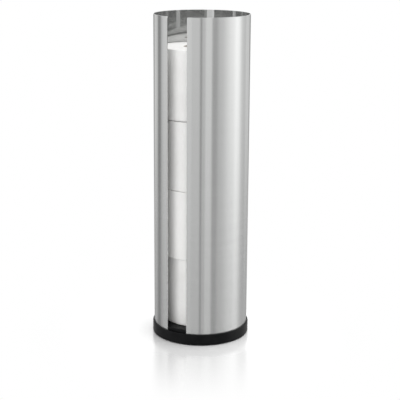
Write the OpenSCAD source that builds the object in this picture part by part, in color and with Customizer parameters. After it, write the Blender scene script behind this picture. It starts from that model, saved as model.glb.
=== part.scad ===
// Free-standing toilet roll holder: a slotted tube of stainless sheet on a black moulded base.
// It holds a stack of four rolls, which are lifted out at its open top.
// Z points up, the origin is the centre of the base on the ground, and the slot faces -Y.

/* [Rolls] */
// Outer diameter of a full roll
roll_d = 114; // [95:0.5:125]
// Height of a roll, which is the width of its paper
roll_h = 98.1; // [85:0.1:110]
// Radius of the roll's outer edges
roll_edge_r = 3; // [1:0.25:6]
// Inner diameter of the cardboard core
core_bore_d = 44; // [36:0.5:52]
// Wall of the cardboard core
core_wall = 1; // [0.6:0.1:2]
// How far the core lies below each face of its roll
core_recess = 0.5; // [0.2:0.1:3]
// Least room left between a leaning roll and the wall of the tube
roll_play = 4; // [2:0.25:5]

/* [Tube shell] */
// Room between a full roll and the wall of the tube
roll_room = 9.25; // [6:0.25:16]
// Thickness of the stainless sheet
sheet_t = 1; // [0.6:0.1:2]
// Height of the tube above the top roll
rim_h = 44.9; // [20:0.1:90]
// Width of the slot
slot_w = 31; // [18:0.5:44]
// Radius of the slot's corners at the rim
slot_corner_r = 1.5; // [0.5:0.25:5]

/* [Base] */
// How far the base stands out past the tube
base_lip = 2.1; // [0.4:0.1:4]
// Height of the seat that the tube stands on, above the ground
seat_h = 16.5; // [14:0.5:26]
// Wall of the base's skirt
skirt_t = 2.5; // [1.6:0.1:4]
// Thickness of the base's top plate
plate_t = 2.5; // [1.6:0.1:4]
// Radius of the base's outer edges
base_edge_r = 0.6; // [0.3:0.1:1.5]
// Number of radial ribs under the base and under the roll floor
rib_count = 16; // [8:8:24]
// Thickness of the ribs
rib_t = 1.6; // [1:0.1:2.5]
// How far the ribs stop short of the base's lower edge
rib_setback = 3.5; // [2:0.5:6]
// Radius of the ring rib
ring_rib_r = 36; // [26:1:40]
// Outer radius of the hub where the ribs meet
hub_r = 12; // [8:0.5:18]
// Wall of the hub
hub_t = 2; // [1.2:0.1:3]

/* [Roll floor] */
// Height of the floor's top above the tube's seat
floor_rise = 5; // [4.8:0.1:12]
// Thickness of the floor plate
floor_t = 2.2; // [1.4:0.1:3]
// Wall of the floor's skirt
floor_skirt_t = 2; // [1.2:0.1:3]
// Radius of the floor's upper edge
floor_edge_r = 0.8; // [0.3:0.1:1.5]

/* [Fixings] */
// Width of a bracket
bracket_w = 16; // [12:0.5:24]
// Reach of a bracket in from the tube's wall
bracket_reach = 15; // [13:0.5:20]
// Distance of the clamp screws in from the tube's wall
screw_inset = 8; // [7:0.25:9]
// Diameter of a clamp screw's shank
screw_d = 3.9; // [3:0.1:4.5]
// Length of a clamp screw under its head
screw_l = 13; // [11:0.5:15]
// Diameter of a clamp screw's head
screw_head_d = 7.8; // [6:0.1:9]
// Height of a clamp screw's head
screw_head_h = 2.6; // [1.8:0.1:3]
// Wall of the bosses round the screws and the feet's stems
boss_wall = 2; // [1.2:0.1:2.8]

/* [Feet] */
// Distance of the rubber feet's centres in from the base's edge
foot_inset = 17.35; // [12:0.05:24]
// Diameter of a foot
foot_d = 14; // [10:0.5:18]
// Height of a foot's head
foot_h = 2.5; // [2:0.1:4]
// How far the feet hold the base's edge off the ground
foot_proud = 1; // [0.5:0.1:1.8]
// Diameter of the stem that is pushed into the base
foot_stem_d = 5; // [3:0.1:7]
// Length of the stem
foot_stem_l = 7; // [3:0.5:8]
// Radius of a foot's lower edge
foot_edge_r = 0.6; // [0.3:0.1:1]

/* [Hidden] */
$fn = 128;

steel = "#b9bcbb";
steel_dark = "#9a9d9e";
black_plastic = "#1b1c1f";
black_rubber = "#101012";
paper = "#f2f1ee";
board = "#a99a85";

// Clearances: between rolls, round the roll floor, the screws, their heads and the brackets,
// and past the end of a foot's stem
stack_gap = 0.3;
floor_gap = 0.3;
screw_play = 0.25;
head_play = 0.6;
bracket_play = 0.3;
stem_play = 0.5;

// How far a cutting solid reaches past what it cuts
cut = 1;

// Cross recess in a screw's head
recess_w = 0.9;
recess_depth = 1.2;

// The four rolls, from the bottom up, and the way each one leans towards the wall
roll_count = 4;
roll_turn = [83, 147, 135, 154];
roll_share = [0.8, 0.86, 0.85, 1];
roll_offset = roll_room - roll_play;

// Four clamp screws on the diagonals, and four feet between them
fixing_count = 4;
fixing_turn = 45;
foot_turn = 0;

// Tube
shell_ir = roll_d / 2 + roll_room;
shell_or = shell_ir + sheet_t;
floor_top = seat_h + floor_rise;
stack_h = roll_count * (roll_h + stack_gap);
overall_h = floor_top + stack_h + rim_h;

// Base
base_r = shell_or + base_lip;
skirt_ir = base_r - skirt_t;
plate_z = seat_h - plate_t;
rib_z = foot_proud + rib_setback;
foot_r = base_r - foot_inset;

// Roll floor
floor_r = shell_ir - floor_gap;
floor_plate_z = floor_top - floor_t;
bracket_top = seat_h + sheet_t;
bracket_h = floor_rise - bracket_play;
floor_rib_z = bracket_top + bracket_play;

// Fixings
screw_r = shell_ir - screw_inset;
screw_tip = floor_top - floor_t / 2;
screw_seat = screw_tip - screw_l;
screw_hole_d = screw_d + 2 * screw_play;
head_hole_d = screw_head_d + 2 * head_play;
screw_boss_d = head_hole_d + 2 * boss_wall;
floor_boss_d = screw_d + 2 * boss_wall;
foot_boss_d = foot_stem_d + 2 * boss_wall;

// Places a child at each of a ring of fixings
module around(count, radius, turn) {
    for (i = [0 : count - 1])
        rotate(turn + i * 360 / count) translate([radius, 0, 0]) children();
}

// Profile of a solid of revolution from radius r0 to r1, with its outer corners rounded
module turned_profile(r0, r1, z0, z1, low_r, high_r) {
    difference() {
        translate([r0, z0]) square([r1 - r0, z1 - z0]);
        if (low_r > 0) translate([r1 - low_r, z0 + low_r]) mirror([0, 1]) corner_waste(low_r);
        translate([r1 - high_r, z1 - high_r]) corner_waste(high_r);
    }
}

// What is cut off a square corner to leave a rounded one
module corner_waste(r) {
    difference() {
        square(r + cut);
        circle(r);
    }
}

// Radial ribs from the hub out to a wall, between two heights
module radial_ribs(inner_r, outer_r, z0, z1) {
    for (i = [0 : rib_count - 1])
        rotate(i * 360 / rib_count)
            translate([inner_r, -rib_t / 2, z0]) cube([outer_r - inner_r, rib_t, z1 - z0]);
}

// Upright ring of a given wall
module ring(r, wall, z0, z1) {
    translate([0, 0, z0]) difference() {
        cylinder(r = r, h = z1 - z0);
        translate([0, 0, -cut]) cylinder(r = r - wall, h = z1 - z0 + 2 * cut);
    }
}

// Outline of the slot, upright, with the shell's corners rounded where it meets the rim
module slot_outline(h) {
    translate([-slot_w / 2, -cut]) square([slot_w, h + 2 * cut]);
    for (side = [0, 1])
        mirror([side, 0])
            translate([slot_w / 2 + slot_corner_r, h - slot_corner_r])
                mirror([1, 0]) corner_waste(slot_corner_r);
}

module tube_shell() {
    shell_h = overall_h - seat_h;
    color(steel) translate([0, 0, seat_h]) difference() {
        cylinder(r = shell_or, h = shell_h);
        translate([0, 0, -cut]) cylinder(r = shell_ir, h = shell_h + 2 * cut);
        rotate([90, 0, 0]) linear_extrude(shell_or + cut) slot_outline(shell_h);
    }
}

// Angle bracket: one leg against the tube's wall, the other flat on the base
module shell_brackets() {
    color(steel_dark) around(fixing_count, 0, fixing_turn) difference() {
        intersection() {
            union() {
                ring(shell_ir, sheet_t, seat_h, seat_h + bracket_h);
                translate([0, 0, seat_h]) difference() {
                    cylinder(r = shell_ir, h = sheet_t);
                    translate([0, 0, -cut])
                        cylinder(r = shell_ir - bracket_reach, h = sheet_t + 2 * cut);
                }
            }
            translate([0, -bracket_w / 2, 0]) cube([shell_ir + cut, bracket_w, overall_h]);
        }
        translate([screw_r, 0, seat_h - cut]) cylinder(d = screw_hole_d, h = sheet_t + 2 * cut);
    }
}

// Black foot: a flat seat for the tube, a skirt, and ribs and bosses in its hollow underside
module base_moulding() {
    color(black_plastic) difference() {
        union() {
            rotate_extrude() difference() {
                turned_profile(0, base_r, foot_proud, seat_h, base_edge_r, base_edge_r);
                translate([-cut, foot_proud - cut]) square([skirt_ir + cut, plate_z - foot_proud + cut]);
            }
            ring(hub_r, hub_t, rib_z, plate_z + cut);
            ring(ring_rib_r, rib_t, rib_z, plate_z + cut);
            radial_ribs(hub_r - hub_t / 2, skirt_ir + skirt_t / 2, rib_z, plate_z + cut);
            around(fixing_count, screw_r, fixing_turn)
                translate([0, 0, rib_z]) cylinder(d = screw_boss_d, h = plate_z - rib_z + cut);
            around(fixing_count, foot_r, foot_turn)
                translate([0, 0, foot_h]) cylinder(d = foot_boss_d, h = plate_z - foot_h + cut);
        }
        around(fixing_count, screw_r, fixing_turn) {
            translate([0, 0, rib_z - cut])
                cylinder(d = head_hole_d, h = screw_seat - rib_z + cut);
            cylinder(d = screw_hole_d, h = seat_h + cut);
        }
        around(fixing_count, foot_r, foot_turn)
            translate([0, 0, foot_h - cut]) cylinder(d = foot_stem_d, h = foot_stem_l + cut);
    }
}

// Disc that the rolls stand on: it holds the brackets down on the base
module roll_floor() {
    color(black_plastic) difference() {
        union() {
            rotate_extrude() difference() {
                turned_profile(0, floor_r, seat_h, floor_top, 0, floor_edge_r);
                translate([-cut, seat_h - cut])
                    square([floor_r - floor_skirt_t + cut, floor_plate_z - seat_h + cut]);
            }
            ring(hub_r, hub_t, seat_h, floor_plate_z + cut);
            ring(ring_rib_r, rib_t, floor_rib_z, floor_plate_z + cut);
            radial_ribs(hub_r - hub_t / 2, floor_r - floor_skirt_t / 2, floor_rib_z, floor_plate_z + cut);
            around(fixing_count, screw_r, fixing_turn)
                translate([0, 0, bracket_top])
                    cylinder(d = floor_boss_d, h = floor_plate_z - bracket_top + cut);
        }
        around(fixing_count, screw_r, fixing_turn)
            translate([0, 0, bracket_top - cut]) cylinder(d = screw_d, h = screw_tip - bracket_top + cut);
        bracket_gates();
    }
}

// What is cut out of the roll floor's rim to let the brackets through
module bracket_gates() {
    gate_w = bracket_w + 2 * bracket_play;
    intersection() {
        ring(floor_r + cut, floor_skirt_t + cut, seat_h - cut, floor_top + cut);
        around(fixing_count, 0, fixing_turn)
            translate([0, -gate_w / 2, 0]) cube([shell_or, gate_w, overall_h]);
    }
}

// Pan-head self-tapping screw, driven upwards, with a cross recess in its head
module clamp_screws() {
    color(steel_dark) around(fixing_count, screw_r, fixing_turn) translate([0, 0, screw_seat]) {
        cylinder(d = screw_d, h = screw_l);
        mirror([0, 0, 1]) difference() {
            rotate_extrude() turned_profile(0, screw_head_d / 2, 0, screw_head_h, 0, screw_head_h / 2);
            for (turn = [0, 90])
                rotate(turn) translate([0, 0, screw_head_h])
                    cube([screw_d, recess_w, 2 * recess_depth], center = true);
        }
    }
}

// Rubber foot: a low button with a stem pushed up into the base
module rubber_foot(index) {
    color(black_rubber) rotate(foot_turn + index * 360 / fixing_count) translate([foot_r, 0, 0]) {
        rotate_extrude() turned_profile(0, foot_d / 2, 0, foot_h, foot_edge_r, foot_edge_r / 2);
        translate([0, 0, foot_h]) cylinder(d = foot_stem_d, h = foot_stem_l - stem_play);
    }
}

// Moves a roll to its place in the stack
module in_stack(index) {
    shift = roll_offset * roll_share[index];
    lift = floor_top + stack_gap + index * (roll_h + stack_gap);
    translate([shift * cos(roll_turn[index]), shift * sin(roll_turn[index]), lift]) children();
}

// Wound paper, with soft outer edges and slightly eased inner ones
module paper_roll(index) {
    bore_r = core_bore_d / 2 + core_wall;
    color(paper) in_stack(index) rotate_extrude() difference() {
        turned_profile(bore_r, roll_d / 2, 0, roll_h, roll_edge_r, roll_edge_r);
        for (end = [0, 1])
            translate([bore_r, end * roll_h]) rotate(45) square(core_recess * sqrt(2), center = true);
    }
}

module roll_core(index) {
    color(board) in_stack(index)
        ring(core_bore_d / 2 + core_wall, core_wall, core_recess, roll_h - core_recess);
}

tube_shell();
shell_brackets();
base_moulding();
roll_floor();
clamp_screws();
for (i = [0 : fixing_count - 1])
    rubber_foot(i);
for (i = [0 : roll_count - 1]) {
    paper_roll(i);
    roll_core(i);
}
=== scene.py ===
import math

import bmesh
import bpy
from mathutils import Matrix, Vector


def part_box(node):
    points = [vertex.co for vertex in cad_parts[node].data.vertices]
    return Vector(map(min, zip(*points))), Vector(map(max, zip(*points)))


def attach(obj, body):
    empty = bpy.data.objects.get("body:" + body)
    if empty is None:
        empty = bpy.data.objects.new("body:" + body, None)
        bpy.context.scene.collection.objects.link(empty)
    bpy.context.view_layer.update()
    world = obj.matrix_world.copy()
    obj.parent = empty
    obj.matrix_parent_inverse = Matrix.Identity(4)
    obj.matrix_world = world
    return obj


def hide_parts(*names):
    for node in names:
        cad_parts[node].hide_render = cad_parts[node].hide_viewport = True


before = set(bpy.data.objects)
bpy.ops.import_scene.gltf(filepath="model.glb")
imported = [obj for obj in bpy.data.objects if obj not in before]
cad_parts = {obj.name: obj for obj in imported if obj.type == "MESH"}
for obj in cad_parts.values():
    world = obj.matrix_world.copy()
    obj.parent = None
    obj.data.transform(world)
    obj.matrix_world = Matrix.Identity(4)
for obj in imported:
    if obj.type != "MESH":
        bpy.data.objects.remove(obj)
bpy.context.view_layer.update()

# Toilet roll holder: a slotted stainless tube on a black foot, with four rolls inside.
# Metres, Z up, the slot faces -Y.

mm = 0.001


# Small helpers for node trees

def feed(tree, socket, value):
    if isinstance(value, bpy.types.NodeSocket):
        tree.links.new(value, socket)
    else:
        socket.default_value = value


def addNode(tree, kind, inputs=None, **settings):
    node = tree.nodes.new(kind)
    for name, value in settings.items():
        setattr(node, name, value)
    for key, value in (inputs or {}).items():
        # several sockets can share a name, and the enabled one is meant; a key can be an index too
        named = [item for item in node.inputs if item.name == key and item.enabled]
        feed(tree, named[0] if named else node.inputs[key], value)
    return node


def calc(tree, operation, *values):
    node = tree.nodes.new("ShaderNodeMath")
    node.operation = operation
    for socket, value in zip(node.inputs, values):
        feed(tree, socket, value)
    return node.outputs[0]


def add(tree, first, *others):
    for other in others:
        first = calc(tree, "ADD", first, other)
    return first


def sub(tree, first, *others):
    for other in others:
        first = calc(tree, "SUBTRACT", first, other)
    return first


def mul(tree, first, *others):
    for other in others:
        first = calc(tree, "MULTIPLY", first, other)
    return first


def between(tree, share, low, high):
    return calc(tree, "MULTIPLY_ADD", share, high - low, low)


def ramp(tree, value, low, high, lowOut=0.0, highOut=1.0, smooth=True):
    node = tree.nodes.new("ShaderNodeMapRange")
    node.interpolation_type = "SMOOTHSTEP" if smooth else "LINEAR"
    node.clamp = True
    for name, amount in (("Value", value), ("From Min", low), ("From Max", high),
                         ("To Min", lowOut), ("To Max", highOut)):
        feed(tree, node.inputs[name], amount)
    return node.outputs[0]


def split(tree, vector):
    return addNode(tree, "ShaderNodeSeparateXYZ", {"Vector": vector}).outputs


def join(tree, x=0.0, y=0.0, z=0.0):
    return addNode(tree, "ShaderNodeCombineXYZ", {"X": x, "Y": y, "Z": z}).outputs[0]


# Helpers for materials

def newMaterial(name):
    material = bpy.data.materials.new(name)
    material.use_nodes = True
    tree = material.node_tree
    tree.nodes.clear()
    shader = addNode(tree, "ShaderNodeBsdfPrincipled")
    addNode(tree, "ShaderNodeOutputMaterial", {"Surface": shader.outputs[0]})
    return material, tree, shader


def mixColour(tree, factor, first, second):
    node = tree.nodes.new("ShaderNodeMix")
    node.data_type = "RGBA"
    feed(tree, node.inputs["Factor"], factor)
    feed(tree, node.inputs[6], first)
    feed(tree, node.inputs[7], second)
    return node.outputs[2]


def surfaceNoise(tree, scale, detail=2.0, roughness=0.5, source="Object", dimensions="3D"):
    place = addNode(tree, "ShaderNodeTexCoord").outputs[source]
    if not isinstance(scale, (int, float)):
        place = addNode(tree, "ShaderNodeMapping", {"Vector": place, "Scale": scale}).outputs[0]
        scale = 1.0
    noise = addNode(tree, "ShaderNodeTexNoise",
                    {"Vector": place, "Scale": scale, "Detail": detail, "Roughness": roughness},
                    noise_dimensions=dimensions)
    return noise.outputs["Fac"]


def bump(tree, height, distance, strength=1.0, normal=None):
    inputs = {"Height": height, "Distance": distance, "Strength": strength}
    if normal is not None:
        inputs["Normal"] = normal
    return addNode(tree, "ShaderNodeBump", inputs).outputs[0]


# distance from the holder's upright axis
def axisDistance(tree):
    spot = split(tree, addNode(tree, "ShaderNodeTexCoord").outputs["Object"])
    return calc(tree, "SQRT", add(tree, mul(tree, spot[0], spot[0]), mul(tree, spot[1], spot[1])))


# patches of a second colour, and a roughness that wanders between two values
def mottle(tree, shader, cloud, look):
    patch = ramp(tree, cloud, *look["patchEdges"])
    feed(tree, shader.inputs["Base Color"], mixColour(tree, patch, look["colour"], look["patch"]))
    feed(tree, shader.inputs["Roughness"], ramp(tree, cloud, 0.3, 0.7, *look["roughness"]))


# Materials

def brushedSteel():
    look = {
        "colour": (0.655, 0.66, 0.655, 1), "dark": (0.615, 0.62, 0.615, 1), "roughness": 0.20,
        "inside": (0.58, 0.585, 0.58, 1), "insideDark": (0.55, 0.555, 0.55, 1), "insideRoughness": 0.03,
        "insideMetal": 0.86, "anisotropy": 1.0, "satinFade": (66.4 * mm, 67.0 * mm),
        "grain": (8, 2600, 1), "bands": (2.5, 240, 1), "grainHeight": 0.0008 * mm,
    }
    material, tree, shader = newMaterial("brushedStainless")
    # the grain runs round the tube: long along U, fine along V
    grain = surfaceNoise(tree, look["grain"], 3.0, 0.6, "UV", "2D")
    bands = surfaceNoise(tree, look["bands"], 2.0, 0.5, "UV", "2D")
    both = calc(tree, "MULTIPLY_ADD", bands, 0.2, mul(tree, grain, 0.8))
    streak = ramp(tree, both, 0.3, 0.7)
    # satin outside, the smooth rolled finish of the sheet inside
    satin = ramp(tree, axisDistance(tree), *look["satinFade"])
    inside = mixColour(tree, streak, look["insideDark"], look["inside"])
    outside = mixColour(tree, streak, look["dark"], look["colour"])
    feed(tree, shader.inputs["Base Color"], mixColour(tree, satin, inside, outside))
    rough = between(tree, satin, look["insideRoughness"], look["roughness"])
    feed(tree, shader.inputs["Roughness"], mul(tree, rough, ramp(tree, both, 0.3, 0.7, 0.9, 1.1)))
    # the dull oxide inside scatters a little light
    feed(tree, shader.inputs["Metallic"], between(tree, satin, look["insideMetal"], 1.0))
    shader.inputs["Anisotropic"].default_value = look["anisotropy"]
    shader.inputs["Anisotropic Rotation"].default_value = 0.25  # the blur runs across the grain
    tangent = addNode(tree, "ShaderNodeTangent", direction_type="UV_MAP", uv_map="UVMap")
    tree.links.new(tangent.outputs[0], shader.inputs["Tangent"])
    tree.links.new(bump(tree, both, look["grainHeight"], 0.6), shader.inputs["Normal"])
    return material


def plainSteel():
    look = {"colour": (0.55, 0.56, 0.57, 1), "patch": (0.42, 0.43, 0.44, 1), "patchEdges": (0.4, 0.7),
            "roughness": (0.30, 0.44), "patchScale": 260.0, "pitScale": 1800.0, "pitDepth": 0.01 * mm}
    material, tree, shader = newMaterial("plainSteel")
    mottle(tree, shader, surfaceNoise(tree, look["patchScale"], 4.0), look)
    shader.inputs["Metallic"].default_value = 1.0
    pits = surfaceNoise(tree, look["pitScale"], 2.0)
    tree.links.new(bump(tree, pits, look["pitDepth"]), shader.inputs["Normal"])
    return material


def blackPlastic():
    look = {"colour": (0.0025, 0.0027, 0.0031, 1), "patch": (0.005, 0.0052, 0.0058, 1),
            "patchEdges": (0.4, 0.75), "roughness": (0.32, 0.42), "patchScale": 60.0, "shine": 0.14,
            "grainScale": 2400.0, "grainDepth": 0.010 * mm}
    material, tree, shader = newMaterial("blackPlastic")
    mottle(tree, shader, surfaceNoise(tree, look["patchScale"], 3.0), look)
    shader.inputs["Specular IOR Level"].default_value = look["shine"]
    grain = surfaceNoise(tree, look["grainScale"], 2.0, 0.6)
    tree.links.new(bump(tree, grain, look["grainDepth"], 0.5), shader.inputs["Normal"])
    return material


def blackRubber():
    look = {"colour": (0.012, 0.012, 0.012, 1), "patch": (0.03, 0.029, 0.028, 1), "patchEdges": (0.5, 0.8),
            "roughness": (0.7, 0.9), "patchScale": 500.0, "depth": 0.03 * mm}
    material, tree, shader = newMaterial("blackRubber")
    dust = surfaceNoise(tree, look["patchScale"], 4.0, 0.65)
    mottle(tree, shader, dust, look)
    tree.links.new(bump(tree, dust, look["depth"]), shader.inputs["Normal"])
    return material


def tissuePaper():
    look = {
        "colour": (0.97, 0.967, 0.955, 1), "shade": (0.86, 0.853, 0.835, 1),
        "shadedEnd": (0.80, 0.797, 0.787, 1), "roughness": 0.9, "sheen": 0.15, "shine": 0.2,
        "crepe": (1300, 1300, 130), "crepeTone": 0.25, "crepeDepth": 0.08 * mm,
        "cloudScale": 45.0, "cloudTone": 0.3, "linesPerWrap": 4, "layerShade": 0.35, "lineDepth": 0.06 * mm,
    }
    material, tree, shader = newMaterial("tissuePaper")
    # crepe lines run along the roll's width
    crepe = surfaceNoise(tree, look["crepe"], 4.0, 0.7)
    cloud = surfaceNoise(tree, look["cloudScale"], 3.0)
    # the cut ends show the layers of the wound sheet: painted shade lines in the crevices between the wraps,
    # with a bump along them
    facing = split(tree, addNode(tree, "ShaderNodeNewGeometry").outputs["True Normal"])[2]
    onEnd = ramp(tree, calc(tree, "ABSOLUTE", facing), 0.75, 0.95)
    wraps = addNode(tree, "ShaderNodeAttribute", attribute_name="wraps").outputs["Fac"]
    layer = calc(tree, "SINE", mul(tree, wraps, 2 * math.pi * look["linesPerWrap"]))
    # painted shade: the end faces darken along the lines between the wound layers
    line = mul(tree, between(tree, layer, 0.5, 1.0), onEnd)
    tone = mul(tree, ramp(tree, cloud, 0.35, 0.7), look["cloudTone"])
    tone = calc(tree, "MULTIPLY_ADD", line, look["layerShade"], tone)
    tone = calc(tree, "MULTIPLY_ADD", ramp(tree, crepe, 0.4, 0.66), look["crepeTone"], tone)
    # painted shade: the end faces take a darker colour than the side
    plain = mixColour(tree, onEnd, look["colour"], look["shadedEnd"])
    feed(tree, shader.inputs["Base Color"], mixColour(tree, tone, plain, look["shade"]))
    shader.inputs["Roughness"].default_value = look["roughness"]
    shader.inputs["Sheen Weight"].default_value = look["sheen"]
    shader.inputs["Specular IOR Level"].default_value = look["shine"]
    soft = bump(tree, crepe, look["crepeDepth"], 0.8)
    tree.links.new(bump(tree, mul(tree, line, -1.0), look["lineDepth"], 0.8, soft), shader.inputs["Normal"])
    return material


def greyBoard():
    look = {"colour": (0.36, 0.33, 0.29, 1), "fleck": (0.24, 0.22, 0.19, 1), "roughness": 0.85,
            "fleckScale": 900.0, "seamClimb": 1.2, "seamWidth": 0.006, "depth": 0.1 * mm}
    material, tree, shader = newMaterial("greyBoard")
    flecks = surfaceNoise(tree, look["fleckScale"], 5.0, 0.7)
    # the board is wound from a strip, so its seam climbs round the core
    uv = split(tree, addNode(tree, "ShaderNodeTexCoord").outputs["UV"])
    climb = calc(tree, "FRACT", calc(tree, "MULTIPLY_ADD", uv[1], look["seamClimb"], uv[0]))
    seam = ramp(tree, calc(tree, "ABSOLUTE", sub(tree, climb, 0.5)), 0.0, look["seamWidth"], 1.0, 0.0)
    tone = calc(tree, "MAXIMUM", ramp(tree, flecks, 0.5, 0.75), seam)
    feed(tree, shader.inputs["Base Color"], mixColour(tree, tone, look["colour"], look["fleck"]))
    shader.inputs["Roughness"].default_value = look["roughness"]
    height = sub(tree, mul(tree, flecks, 0.3), seam)
    tree.links.new(bump(tree, height, look["depth"], 0.6), shader.inputs["Normal"])
    return material


materials = {
    "steel": brushedSteel(), "plainSteel": plainSteel(), "plastic": blackPlastic(),
    "rubber": blackRubber(), "paper": tissuePaper(), "board": greyBoard(),
}
print("materials ready")


# Helpers for Geometry Nodes

def newTree(name, sizes, counts=()):
    tree = bpy.data.node_groups.new(name, "GeometryNodeTree")
    tree.interface.new_socket("Geometry", in_out="OUTPUT", socket_type="NodeSocketGeometry")
    for label in sizes:
        tree.interface.new_socket(label, in_out="INPUT", socket_type="NodeSocketFloat")
    for label in counts:
        tree.interface.new_socket(label, in_out="INPUT", socket_type="NodeSocketInt")
    tree.interface.new_socket("Finish", in_out="INPUT", socket_type="NodeSocketMaterial")
    return tree, tree.nodes.new("NodeGroupInput").outputs, tree.nodes.new("NodeGroupOutput")


def buildFromTree(tree, name, values, extras=()):
    carrier = bpy.data.objects.new(name + "_maker", bpy.data.meshes.new(name + "_maker"))
    bpy.context.scene.collection.objects.link(carrier)
    modifier = carrier.modifiers.new("make", "NODES")
    modifier.node_group = tree
    for item in tree.interface.items_tree:
        if item.item_type == "SOCKET" and item.in_out == "INPUT" and item.name in values:
            modifier[item.identifier] = values[item.name]
    for addExtra in extras:
        addExtra(carrier)
    evaluated = carrier.evaluated_get(bpy.context.evaluated_depsgraph_get())
    mesh = bpy.data.meshes.new_from_object(evaluated)
    mesh.name = name
    # the evaluated mesh comes with an empty first slot
    finish = next(item for item in mesh.materials if item)
    mesh.materials.clear()
    mesh.materials.append(finish)
    mesh.polygons.foreach_set("material_index", [0] * len(mesh.polygons))
    bpy.data.objects.remove(carrier)
    piece = bpy.data.objects.new(name, mesh)
    bpy.context.scene.collection.objects.link(piece)
    return piece


# a flat grid of points, with each point's share of the way along X and Y
def unitGrid(tree, columns, rows):
    grid = addNode(tree, "GeometryNodeMeshGrid", {
        "Size X": 1.0, "Size Y": 1.0, "Vertices X": columns, "Vertices Y": rows})
    at = split(tree, addNode(tree, "GeometryNodeInputPosition").outputs[0])
    return grid.outputs["Mesh"], add(tree, at[0], 0.5), add(tree, at[1], 0.5)


# turns even shares of the way into stretches of given lengths
def stretchBetween(tree, value, parts):
    total, start = 0.0, 0.0
    for share, length in parts:
        end = add(tree, start, share)
        total = add(tree, total, mul(tree, ramp(tree, value, start, end, smooth=False), length))
        start = end
    return total


def choose(tree, test, without, chosen):
    return addNode(tree, "GeometryNodeSwitch", {"Switch": test, "False": without, "True": chosen},
                   input_type="FLOAT").outputs[0]


def movedTo(tree, geometry, place):
    return addNode(tree, "GeometryNodeSetPosition", {"Geometry": geometry, "Position": place}).outputs[0]


def merged(tree, geometry, distance):
    inputs = {"Geometry": geometry, "Distance": distance}
    return addNode(tree, "GeometryNodeMergeByDistance", inputs).outputs[0]


def keptAs(tree, geometry, name, value, kind, domain):
    inputs = {"Geometry": geometry, "Name": name, "Value": value}
    return addNode(tree, "GeometryNodeStoreNamedAttribute", inputs, data_type=kind, domain=domain).outputs[0]


def smoothed(tree, geometry):
    inputs = {"Geometry": geometry, "Shade Smooth": True}
    return addNode(tree, "GeometryNodeSetShadeSmooth", inputs).outputs[0]


def finishTree(tree, geometry, finish, result):
    real = addNode(tree, "GeometryNodeRealizeInstances", {"Geometry": geometry})
    painted = addNode(tree, "GeometryNodeSetMaterial", {"Geometry": real.outputs[0], "Material": finish})
    tree.links.new(painted.outputs[0], result.inputs[0])


# Rolls: one tree turns a rounded profile once round, for the paper and for the cores

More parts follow.
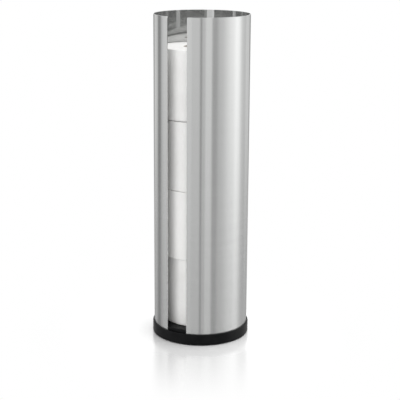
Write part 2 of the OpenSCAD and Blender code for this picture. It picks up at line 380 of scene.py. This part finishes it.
def ringTree():
    tree, given, result = newTree(
        "turnedRing",
        ("Outer Radius", "Inner Radius", "Height", "Low Edge", "High Edge", "Inner Edge", "Low End",
         "Centre X", "Centre Y", "Tail Angle", "Tail Step", "Wrap Pitch", "Wrap Groove", "Wrap Shift",
         "Emboss Pitch", "Emboss Depth", "Slack", "Seed"),
        ("Columns", "Face Rows", "Bore Rows", "Side Rows"))
    faceRows, boreRows, sideRows = given["Face Rows"], given["Bore Rows"], given["Side Rows"]
    rows = add(tree, mul(tree, faceRows, 2.0), add(tree, boreRows, sideRows))
    grid, u, v = unitGrid(tree, add(tree, given["Columns"], 1.0), add(tree, rows, 1.0))
    width = sub(tree, given["Outer Radius"], given["Inner Radius"])

    # one narrow column at each end of the turn, where the sheet ends
    column = calc(tree, "DIVIDE", 1.0, given["Columns"])
    narrow = 0.0008  # share of the turn
    turn = stretchBetween(tree, u, (
        (column, narrow), (sub(tree, 1.0, mul(tree, column, 2.0)), 1 - 2 * narrow), (column, narrow)))

    # rows: top face, bore, bottom face, outer side, as lengths along the profile
    faceShare = calc(tree, "DIVIDE", faceRows, rows)
    along = stretchBetween(tree, v, (
        (faceShare, width), (calc(tree, "DIVIDE", boreRows, rows), given["Height"]),
        (faceShare, width), (calc(tree, "DIVIDE", sideRows, rows), given["Height"])))
    share = calc(tree, "DIVIDE", along, mul(tree, add(tree, width, given["Height"]), 2.0))
    spot = roundedProfile(tree, given, width, share)
    rho = add(tree, spot[0], calc(tree, "MULTIPLY_ADD", width, 0.5, given["Inner Radius"]))
    fromBore = sub(tree, rho, given["Inner Radius"])
    outward = calc(tree, "DIVIDE", fromBore, width)

    # the outer wrap thins by one sheet over its turn and steps back up at its tail
    tail = mul(tree, ramp(tree, u, sub(tree, 1.0, column), 1.0, 1.0, 0.0, False), turn)
    thin = mul(tree, tail, given["Tail Step"], ramp(tree, outward, 0.9, 1.0))

    wraps = add(tree, calc(tree, "DIVIDE", fromBore, given["Wrap Pitch"]), turn)
    halfHeight = mul(tree, given["Height"], 0.5)
    nearEnd = ramp(tree, sub(tree, halfHeight, calc(tree, "ABSOLUTE", spot[1])),
                   0.0, calc(tree, "MAXIMUM", given["High Edge"], 0.001), 1.0, 0.0)
    sink = mul(tree, endWraps(tree, given, wraps, outward, nearEnd), calc(tree, "SIGN", spot[1]))
    height = sub(tree, spot[1], sink)
    press = sideEmboss(tree, given, turn, height, outward, nearEnd)

    # a soft roll is never quite round
    angle = calc(tree, "MULTIPLY_ADD", turn, 2 * math.pi, given["Tail Angle"])
    cosine, sine = calc(tree, "COSINE", angle), calc(tree, "SINE", angle)
    out = join(tree, cosine, sine, calc(tree, "MULTIPLY_ADD", height, 9.0, given["Seed"]))
    sag = addNode(tree, "ShaderNodeTexNoise", {"Vector": out, "Scale": 1.3, "Detail": 1.0})
    dent = mul(tree, sag.outputs["Fac"], given["Slack"], outward)

    radius = sub(tree, rho, thin, press, dent)
    place = join(tree, calc(tree, "MULTIPLY_ADD", cosine, radius, given["Centre X"]),
                 calc(tree, "MULTIPLY_ADD", sine, radius, given["Centre Y"]),
                 add(tree, height, halfHeight, given["Low End"]))
    kept = keptAs(tree, grid, "UVMap", join(tree, turn, share), "FLOAT2", "CORNER")
    kept = keptAs(tree, kept, "wraps", wraps, "FLOAT", "POINT")
    closed = merged(tree, movedTo(tree, kept, place), 0.001 * mm)
    finishTree(tree, smoothed(tree, closed), given["Finish"], result)
    return tree


# a rectangle of the ring's width and height, with each of its corners rounded by its own radius
def roundedProfile(tree, given, width, share):
    outline = addNode(tree, "GeometryNodeCurvePrimitiveQuadrilateral",
                      {"Width": width, "Height": given["Height"]}, mode="RECTANGLE")
    corner = split(tree, addNode(tree, "GeometryNodeInputPosition").outputs[0])
    isHigh = calc(tree, "GREATER_THAN", corner[1], 0.0)
    isOuter = calc(tree, "GREATER_THAN", corner[0], 0.0)
    outerEdge = choose(tree, isHigh, given["Low Edge"], given["High Edge"])
    edge = choose(tree, isOuter, given["Inner Edge"], outerEdge)
    rounded = addNode(tree, "GeometryNodeFilletCurve", {
        "Curve": outline.outputs[0], "Count": 6, "Radius": edge, "Limit Radius": True}, mode="POLY")
    profile = addNode(tree, "GeometryNodeSampleCurve", {"Curves": rounded.outputs[0], "Factor": share},
                      mode="FACTOR", use_all_curves=True)
    return split(tree, profile.outputs["Position"])


# depth of the end faces: a spiral of shallow grooves, each turn standing a little in or out
def endWraps(tree, given, wraps, outward, nearEnd):
    ridge = calc(tree, "ABSOLUTE", calc(tree, "SINE", mul(tree, wraps, math.pi)))
    groove = mul(tree, calc(tree, "POWER", sub(tree, 1.0, ridge), 2.0), given["Wrap Groove"])
    spot = add(tree, mul(tree, wraps, 0.9), given["Seed"])
    loose = addNode(tree, "ShaderNodeTexNoise", {"W": spot, "Scale": 1.0, "Detail": 1.0},
                    noise_dimensions="1D")
    standOut = mul(tree, sub(tree, loose.outputs["Fac"], 0.5), given["Wrap Shift"])
    inFace = mul(tree, nearEnd, ramp(tree, outward, 0.02, 0.08), ramp(tree, outward, 0.9, 0.99, 1.0, 0.0))
    return mul(tree, add(tree, groove, mul(tree, given["Wrap Shift"], 0.5), standOut), inFace)


# depth of the embossed side: two crossing waves pressed into the outer wrap
def sideEmboss(tree, given, turn, height, outward, nearEnd):
    arc = mul(tree, turn, 2 * math.pi, given["Outer Radius"])
    wave = calc(tree, "DIVIDE", math.pi, given["Emboss Pitch"])
    one = calc(tree, "SINE", mul(tree, add(tree, arc, height), wave))
    other = calc(tree, "SINE", mul(tree, sub(tree, arc, height), wave))
    quilt = sub(tree, 1.0, calc(tree, "ABSOLUTE", mul(tree, one, other)))
    onSide = mul(tree, ramp(tree, outward, 0.985, 1.0), ramp(tree, nearEnd, 0.1, 0.6, 1.0, 0.0))
    return mul(tree, calc(tree, "POWER", quilt, 2.0), given["Emboss Depth"], onSide)


def outwardFaces(piece):
    mesh = bmesh.new()
    mesh.from_mesh(piece.data)
    bmesh.ops.recalc_face_normals(mesh, faces=mesh.faces)
    mesh.to_mesh(piece.data)
    mesh.free()


def makeRolls():
    # the radii of the outer edges and the angles of the tails are one for each roll, the lowest first
    roll = {
        "lowEdges": (1.6 * mm, 0.2 * mm, 0.2 * mm, 2.9 * mm),
        "highEdges": (0.2 * mm, 0.2 * mm, 1.8 * mm, 1.0 * mm),
        "innerEdge": 0.5 * mm, "wrapPitch": 1.4 * mm, "wrapGroove": 0.16 * mm, "wrapShift": 0.35 * mm,
        "embossPitch": 7.5 * mm, "embossDepth": 0.2 * mm, "tailStep": 0.35 * mm, "slack": 0.5 * mm,
        "tailAngles": (1.3, 3.6, 0.4, 2.2), "columns": 200, "faceRows": 90, "boreRows": 8, "sideRows": 76,
    }
    core = {"wall": 1.0 * mm, "edge": 0.2 * mm, "columns": 96, "faceRows": 4, "boreRows": 24, "sideRows": 24}
    ring = ringTree()
    for index in range(4):
        low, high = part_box(f"paper_roll_{index + 1}")
        coreLow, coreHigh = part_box(f"roll_core_{index + 1}")
        centre = (coreLow + coreHigh) / 2
        coreRadius = (coreHigh.x - coreLow.x) / 2
        paper = buildFromTree(ring, f"wound_paper_{index + 1}", {
            "Outer Radius": (high.x - low.x) / 2, "Inner Radius": coreRadius, "Height": high.z - low.z,
            "Low Edge": roll["lowEdges"][index], "High Edge": roll["highEdges"][index],
            "Inner Edge": roll["innerEdge"], "Low End": low.z, "Centre X": centre.x, "Centre Y": centre.y,
            "Tail Angle": roll["tailAngles"][index], "Tail Step": roll["tailStep"],
            "Wrap Pitch": roll["wrapPitch"], "Wrap Groove": roll["wrapGroove"],
            "Wrap Shift": roll["wrapShift"], "Emboss Pitch": roll["embossPitch"],
            "Emboss Depth": roll["embossDepth"], "Slack": roll["slack"], "Seed": 3.7 * index + 1.0,
            "Columns": roll["columns"], "Face Rows": roll["faceRows"], "Bore Rows": roll["boreRows"],
            "Side Rows": roll["sideRows"], "Finish": materials["paper"]})
        # the board is the same ring with no wraps, tail or embossing
        tube = buildFromTree(ring, f"board_core_{index + 1}", {
            "Outer Radius": coreRadius, "Inner Radius": coreRadius - core["wall"],
            "Height": coreHigh.z - coreLow.z, "Low Edge": core["edge"], "High Edge": core["edge"],
            "Inner Edge": core["edge"], "Low End": coreLow.z, "Centre X": centre.x, "Centre Y": centre.y,
            "Tail Angle": 0.0, "Tail Step": 0.0, "Wrap Pitch": core["wall"], "Wrap Groove": 0.0,
            "Wrap Shift": 0.0, "Emboss Pitch": 1.0, "Emboss Depth": 0.0, "Slack": 0.0, "Seed": 1.0 * index,
            "Columns": core["columns"], "Face Rows": core["faceRows"], "Bore Rows": core["boreRows"],
            "Side Rows": core["sideRows"], "Finish": materials["board"]})
        for piece, node, slot in ((paper, f"paper_roll_{index + 1}", "tissue_paper"),
                                  (tube, f"roll_core_{index + 1}", "grey_board")):
            outwardFaces(piece)
            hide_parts(node)
            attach(piece, f"roll_{index + 1}")
    print("rolls ready")


makeRolls()


# Tube: one sheet bent round from slot edge to slot edge

def shellTree():
    tree, given, result = newTree(
        "slottedSheet", ("Radius", "Low End", "Height", "Slot Half Angle", "Corner Radius"),
        ("Columns", "Rows"))
    grid, u, v = unitGrid(tree, given["Columns"], given["Rows"])
    # columns crowd towards the slot, so that its rounded corners come out round
    crowd = 0.985
    bunched = mul(tree, calc(tree, "SINE", mul(tree, u, 2 * math.pi)), crowd / (2 * math.pi))
    sweep = sub(tree, 2 * math.pi, mul(tree, given["Slot Half Angle"], 2.0))
    swept = mul(tree, sub(tree, u, bunched), sweep)
    angle = add(tree, swept, given["Slot Half Angle"], -math.pi / 2)
    # towards the slot the upper end falls along the corner's arc
    corner = given["Corner Radius"]
    toEdge = mul(tree, calc(tree, "MINIMUM", swept, sub(tree, sweep, swept)), given["Radius"])
    inside = sub(tree, corner, calc(tree, "MINIMUM", toEdge, corner))
    arc = calc(tree, "SQRT", sub(tree, mul(tree, corner, corner), mul(tree, inside, inside)))
    height = mul(tree, sub(tree, given["Height"], sub(tree, corner, arc)), v)
    place = join(tree, mul(tree, calc(tree, "COSINE", angle), given["Radius"]),
                 mul(tree, calc(tree, "SINE", angle), given["Radius"]), add(tree, height, given["Low End"]))
    flat = join(tree, mul(tree, swept, given["Radius"]), height)
    kept = keptAs(tree, grid, "UVMap", flat, "FLOAT2", "CORNER")
    finishTree(tree, smoothed(tree, movedTo(tree, kept, place)), given["Finish"], result)
    return tree


def makeShell():
    shell = {"sheet": 1.0 * mm, "slotWidth": 31.0 * mm, "cornerRadius": 1.5 * mm, "burr": 0.15 * mm,
             "columns": 300, "rows": 30}
    low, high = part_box("tube_shell")
    radius = (high.x - low.x) / 2

    def thicken(carrier):
        solid = carrier.modifiers.new("sheet", "SOLIDIFY")
        solid.thickness = shell["sheet"]
        solid.offset = -1.0
        solid.use_even_offset = True
        rounded = carrier.modifiers.new("deburred", "BEVEL")
        rounded.width = shell["burr"]
        rounded.segments = 2
        rounded.limit_method = "ANGLE"
        rounded.angle_limit = math.radians(50)
        rounded.harden_normals = True

    piece = buildFromTree(shellTree(), "slotted_tube", {
        "Radius": radius, "Low End": low.z, "Height": high.z - low.z,
        "Slot Half Angle": math.asin(shell["slotWidth"] / 2 / radius), "Corner Radius": shell["cornerRadius"],
        "Columns": shell["columns"], "Rows": shell["rows"], "Finish": materials["steel"]}, [thicken])
    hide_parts("tube_shell")
    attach(piece, "holder")
    print("shell ready", len(piece.data.polygons))


makeShell()


# Screws: head down, driven up into the roll floor

def screwTree():
    tree, given, result = newTree(
        "tappingScrews",
        ("Shank Radius", "Length", "Tip", "Head Radius", "Head Height", "Thread Pitch", "Thread Depth",
         "Recess Width", "Recess Reach", "Recess Depth", "Ring Radius", "Ring Turn", "Seat Height"),
        ("Screws", "Columns", "Rows", "Seed"))
    screw = addNode(tree, "GeometryNodeMeshBoolean", {}, operation="DIFFERENCE", solver="EXACT")
    tree.links.new(screwBody(tree, given), screw.inputs["Mesh 1"])
    tree.links.new(crossRecess(tree, given), screw.inputs["Mesh 2"])
    bend = addNode(tree, "GeometryNodeInputMeshEdgeAngle").outputs["Unsigned Angle"]
    sharp = addNode(tree, "GeometryNodeSetShadeSmooth", {
        "Geometry": smoothed(tree, screw.outputs[0]), "Selection": calc(tree, "GREATER_THAN", bend, 0.6),
        "Shade Smooth": False}, domain="EDGE")
    # one screw for each corner of the ring, turned as it happened to stop
    corners = addNode(tree, "GeometryNodeMeshCircle", {
        "Vertices": given["Screws"], "Radius": given["Ring Radius"]})
    seats = addNode(tree, "GeometryNodeTransform", {
        "Geometry": corners.outputs["Mesh"], "Translation": join(tree, z=given["Seat Height"]),
        "Rotation": join(tree, z=given["Ring Turn"])})
    stop = addNode(tree, "FunctionNodeRandomValue", {"Min": 0.0, "Max": 1.5, "Seed": given["Seed"]},
                   data_type="FLOAT")
    placed = addNode(tree, "GeometryNodeInstanceOnPoints", {
        "Points": seats.outputs[0], "Instance": sharp.outputs[0],
        "Rotation": join(tree, z=stop.outputs["Value"])})
    finishTree(tree, placed.outputs[0], given["Finish"], result)
    return tree


def screwBody(tree, given):
    grid, turn, v = unitGrid(tree, given["Columns"], given["Rows"])
    # shares of the rows up to the end of the domed head, its side, its seat, the shank and the tip
    dome, side, seat, shank, tip = 0.10, 0.12, 0.14, 0.90, 0.98
    domeHeight = 0.6  # of the head's height
    curve = mul(tree, ramp(tree, v, 0.0, dome, smooth=False), math.pi / 2)
    crown = calc(tree, "MULTIPLY_ADD", calc(tree, "COSINE", curve), -domeHeight, domeHeight - 1.0)
    height = add(tree, mul(tree, given["Head Height"], crown), stretchBetween(tree, sub(tree, v, dome), (
        (side - dome, mul(tree, given["Head Height"], 1.0 - domeHeight)),
        (seat - side, 0.0),
        (shank - seat, sub(tree, given["Length"], given["Tip"])),
        (tip - shank, given["Tip"]))))
    narrowing = stretchBetween(tree, sub(tree, v, side), (
        (seat - side, sub(tree, given["Head Radius"], given["Shank Radius"])),
        (shank - seat, 0.0),
        (tip - shank, mul(tree, given["Shank Radius"], 0.6)),
        (1.0 - tip, mul(tree, given["Shank Radius"], 0.4))))
    # the thread winds up the shank, its crest at the full radius
    steepness = 1.7
    wave = calc(tree, "FRACT", sub(tree, calc(tree, "DIVIDE", height, given["Thread Pitch"]), turn))
    flank = calc(tree, "ABSOLUTE", calc(tree, "MULTIPLY_ADD", wave, 2.0, -1.0))
    root = calc(tree, "MINIMUM", mul(tree, flank, steepness), 1.0)
    onShank = mul(tree, ramp(tree, v, seat, seat + 0.02), ramp(tree, v, 0.94, 0.98, 1.0, 0.0))
    cutIn = mul(tree, root, given["Thread Depth"], onShank)
    radius = sub(tree, mul(tree, calc(tree, "SINE", curve), given["Head Radius"]), narrowing, cutIn)
    angle = mul(tree, turn, 2 * math.pi)
    place = join(tree, mul(tree, calc(tree, "COSINE", angle), radius),
                 mul(tree, calc(tree, "SINE", angle), radius), height)
    return merged(tree, movedTo(tree, grid, place), 0.002 * mm)


# two crossed bars, narrower towards the bottom of the recess
def crossRecess(tree, given):
    bottomWidth = 0.62  # of the width at the top
    cross = addNode(tree, "GeometryNodeMeshBoolean", {}, operation="UNION", solver="EXACT")
    for along, across in (("Recess Reach", "Recess Width"), ("Recess Width", "Recess Reach")):
        size = join(tree, given[along], given[across], mul(tree, given["Recess Depth"], 2.0))
        bar = addNode(tree, "GeometryNodeMeshCube", {"Size": size})
        spot = split(tree, addNode(tree, "GeometryNodeInputPosition").outputs[0])
        taper = ramp(tree, spot[2], -1 * mm, 1 * mm, 1.0, bottomWidth, False)
        place = join(tree, mul(tree, spot[0], taper), mul(tree, spot[1], taper),
                     sub(tree, spot[2], given["Head Height"]))
        tree.links.new(movedTo(tree, bar.outputs["Mesh"], place), cross.inputs["Mesh 2"])
    return cross.outputs[0]


def makeScrews():
    screw = {"shank": 3.9 * mm, "tip": 1.6 * mm, "head": 7.8 * mm, "headHeight": 2.6 * mm, "pitch": 1.3 * mm,
             "depth": 0.5 * mm, "recessWidth": 1.0 * mm, "recessReach": 4.2 * mm, "recessDepth": 1.5 * mm,
             "count": 4, "columns": 33, "rows": 160, "seed": 4}
    low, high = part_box("clamp_screws")
    piece = buildFromTree(screwTree(), "tapping_screws", {
        "Shank Radius": screw["shank"] / 2, "Length": high.z - low.z - screw["headHeight"],
        "Tip": screw["tip"], "Head Radius": screw["head"] / 2, "Head Height": screw["headHeight"],
        "Thread Pitch": screw["pitch"], "Thread Depth": screw["depth"],
        "Recess Width": screw["recessWidth"], "Recess Reach": screw["recessReach"],
        "Recess Depth": screw["recessDepth"],
        "Ring Radius": (high.x - screw["head"] / 2) * math.sqrt(2), "Ring Turn": math.pi / 4,
        "Seat Height": low.z + screw["headHeight"], "Screws": screw["count"], "Columns": screw["columns"],
        "Rows": screw["rows"], "Seed": screw["seed"], "Finish": materials["plainSteel"]})
    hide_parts("clamp_screws")
    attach(piece, "holder")
    print("screws ready", len(piece.data.polygons))


makeScrews()


# Pieces that keep their own mesh

def finishCadNodes():
    finishes = {"base_moulding": "plastic", "roll_floor": "plastic", "shell_brackets": "plainSteel"}
    finishes.update({f"rubber_foot_{index}": "rubber" for index in range(1, 5)})
    for node, finish in finishes.items():
        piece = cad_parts[node]
        piece.data.materials.clear()
        piece.data.materials.append(materials[finish])
    print("moulded and pressed parts finished")


finishCadNodes()


# Camera, from the photograph's framing: place, aim and lens

camera = {"distance": 1.564, "height": 0.592, "azimuth": 30.6, "yaw": 0.056, "pitch": 14.22, "roll": 0.31,
          "focal": 1127.0, "imageWidth": 400.0, "sensor": 36.0}


def placeCamera():
    azimuth = math.radians(camera["azimuth"])
    aim = math.radians(camera["azimuth"] + camera["yaw"])
    pitch = math.radians(camera["pitch"])
    forward = Vector((-math.sin(aim) * math.cos(pitch), math.cos(aim) * math.cos(pitch), -math.sin(pitch)))
    data = bpy.data.cameras.new("camera")
    data.sensor_width = camera["sensor"]
    data.lens = camera["focal"] / camera["imageWidth"] * camera["sensor"]
    data.clip_start, data.clip_end = 0.05, 60.0
    eye = bpy.data.objects.new("camera", data)
    spot = Vector((math.sin(azimuth), -math.cos(azimuth), 0)) * camera["distance"]
    spot.z = camera["height"]
    level = forward.to_track_quat("-Z", "Y").to_matrix().to_4x4()
    tilted = level @ Matrix.Rotation(math.radians(camera["roll"]), 4, "Z")
    eye.matrix_world = Matrix.Translation(spot) @ tilted
    bpy.context.scene.collection.objects.link(eye)
    bpy.context.scene.camera = eye


placeCamera()


# Stage: a white table top and a studio of soft panels and dark flags round it

def makeTable():
    # distances are from the holder's axis
    table = {
        "radius": 0.9, "corners": 96, "colour": (0.55, 0.55, 0.55, 1), "gloss": 0.14, "mirrors": 0.75,
        "shaded": (0.95, 0.95, 0.95, 1), "shadeTo": 0.080, "whiteFrom": 0.122, "white": 1.0,
        "polish": 0.20, "mirrorNear": 0.37, "mirrorFrom": 0.10, "mirrorTo": 0.27,
    }
    turns = [2 * math.pi * index / table["corners"] for index in range(table["corners"])]
    rim = [(table["radius"] * math.cos(turn), table["radius"] * math.sin(turn), 0) for turn in turns]
    mesh = bpy.data.meshes.new("table_top")
    mesh.from_pydata(rim, [], [tuple(range(len(rim)))])
    top = bpy.data.objects.new("table_top", mesh)
    bpy.context.scene.collection.objects.link(top)
    material, tree, shader = newMaterial("whiteTable")
    surface = shader.outputs[0].links[0].to_socket
    shader.inputs["Base Color"].default_value = table["colour"]
    shader.inputs["Roughness"].default_value = table["gloss"]
    reach = axisDistance(tree)
    paths = addNode(tree, "ShaderNodeLightPath").outputs
    # seen directly: shaded close to the foot, plain white further out, with a polish that fades away
    shaded = addNode(tree, "ShaderNodeBsdfDiffuse", {"Color": table["shaded"]})
    white = addNode(tree, "ShaderNodeEmission", {"Color": (1, 1, 1, 1), "Strength": table["white"]})
    plain = ramp(tree, reach, table["shadeTo"], table["whiteFrom"])
    ground = addNode(tree, "ShaderNodeMixShader", {0: plain, 1: shaded.outputs[0], 2: white.outputs[0]})
    polish = addNode(tree, "ShaderNodeBsdfAnisotropic", {"Color": (1, 1, 1, 1), "Roughness": table["polish"]})
    mirror = ramp(tree, reach, table["mirrorFrom"], table["mirrorTo"], table["mirrorNear"], 0.0)
    seen = addNode(tree, "ShaderNodeMixShader", {0: mirror, 1: ground.outputs[0], 2: polish.outputs[0]})
    # in the steel the table shows mostly the studio that its glossy top mirrors
    clear = addNode(tree, "ShaderNodeBsdfTransparent")
    mirrored = mul(tree, paths["Is Glossy Ray"], table["mirrors"])
    unseen = addNode(tree, "ShaderNodeMixShader", {0: mirrored, 1: shader.outputs[0], 2: clear.outputs[0]})
    whole = addNode(tree, "ShaderNodeMixShader", {
        0: paths["Is Camera Ray"], 1: unseen.outputs[0], 2: seen.outputs[0]})
    tree.links.new(whole.outputs[0], surface)
    mesh.materials.append(material)


def makeStudio():
    # panels: bearing, half width and soft edge in degrees, then strength; bearings go round from the
    # camera to its right, a panel adds light and a flag takes it
    # pairs: between which heights something fades in, as sines above the horizon
    studio = {
        "ambient": 0.77, "least": 0.05, "underfoot": 0.54, "underfootFade": (-0.28, -0.14),
        "spread": 0.97, "spreadFade": (-0.32, -0.12), "raisedFade": (-0.12, 0.06),
        "beltAt": -0.185, "beltLight": 0.20, "beltEdge": (0.02, 0.09),
        "overhead": 1.7, "overheadToRight": 0.6, "overheadFade": (0.35, 0.9),
        "panels": {
            "backdrop": (180, 10, 3, 0.30), "rear right flag": (161, 5, 9, -0.40),
            "rear left flag": (-161, 5, 9, -0.40), "left flag": (-119.8, 2.7, 10.1, -0.43),
            "left strip": (-95, 3.5, 9.7, 0.15), "slot strip": (-34, 8, 4.5, 0.21),
            "front strip": (-14, 6, 7, 0.10), "camera gap": (-1.5, 0, 4.0, -0.38),
            "right strip": (16.5, 6.4, 2.5, 0.24), "right flag": (31.6, 1.9, 9.8, -0.23),
            "right softbox": (83.5, 2.6, 39.2, 0.54), "right softbox core": (94.5, 2.6, 14.4, 0.25),
            "right edge strip": (132.3, 0.3, 6.9, 0.10),
        },
        # hung above the horizon
        "raised": {"front softbox": (-64, 12, 17, 1.5)},
    }
    world = bpy.data.worlds.new("studio")
    bpy.context.scene.world = world
    world.use_nodes = True
    tree = world.node_tree
    tree.nodes.clear()
    direction = split(tree, addNode(tree, "ShaderNodeTexCoord").outputs["Generated"])
    up = direction[2]
    bearing = calc(tree, "ARCTAN2", direction[1], direction[0])
    facing = math.radians(camera["azimuth"] - 90)
    turned = calc(tree, "WRAP", sub(tree, bearing, facing), math.pi, -math.pi)
    # the panels lean outwards a little towards the floor
    spread = ramp(tree, up, *studio["spreadFade"], studio["spread"], 1.0)
    lean = mul(tree, calc(tree, "SINE", mul(tree, turned, 0.5)), spread)
    turned = mul(tree, calc(tree, "ARCSINE", lean), 2.0)
    light = studio["ambient"]
    for name, (centre, half, soft, strength) in {**studio["panels"], **studio["raised"]}.items():
        away = calc(tree, "WRAP", sub(tree, turned, math.radians(centre)), math.pi, -math.pi)
        edges = math.radians(half), math.radians(half + soft)
        shape = ramp(tree, calc(tree, "ABSOLUTE", away), *edges, strength, 0.0)
        if name in studio["raised"]:
            shape = mul(tree, shape, ramp(tree, up, *studio["raisedFade"]))
        light = add(tree, light, shape)
    light = calc(tree, "MAXIMUM", light, studio["least"])
    light = mul(tree, light, ramp(tree, up, *studio["underfootFade"], studio["underfoot"], 1.0))
    # a lighter belt lies just below the horizon, where the floor runs out
    fromBelt = calc(tree, "ABSOLUTE", sub(tree, up, studio["beltAt"]))
    light = mul(tree, light, ramp(tree, fromBelt, *studio["beltEdge"], 1 + studio["beltLight"], 1.0))
    # the overhead light hangs to the right, so the foot's shadow falls to the left
    high = ramp(tree, up, *studio["overheadFade"])
    lop = calc(tree, "MULTIPLY_ADD", calc(tree, "SINE", turned), studio["overheadToRight"], 1.0)
    overhead = mul(tree, lop, studio["overhead"])
    light = add(tree, mul(tree, light, sub(tree, 1.0, high)), mul(tree, high, overhead))
    lit = addNode(tree, "ShaderNodeBackground", {"Color": (1, 1, 1, 1), "Strength": light})
    white = addNode(tree, "ShaderNodeBackground", {"Color": (1, 1, 1, 1), "Strength": 1.0})
    seen = addNode(tree, "ShaderNodeLightPath").outputs["Is Camera Ray"]
    whole = addNode(tree, "ShaderNodeMixShader", {0: seen, 1: lit.outputs[0], 2: white.outputs[0]})
    addNode(tree, "ShaderNodeOutputWorld", {"Surface": whole.outputs[0]})


makeTable()
makeStudio()
bpy.context.scene.view_settings.view_transform = "Standard"

print("scene ready")
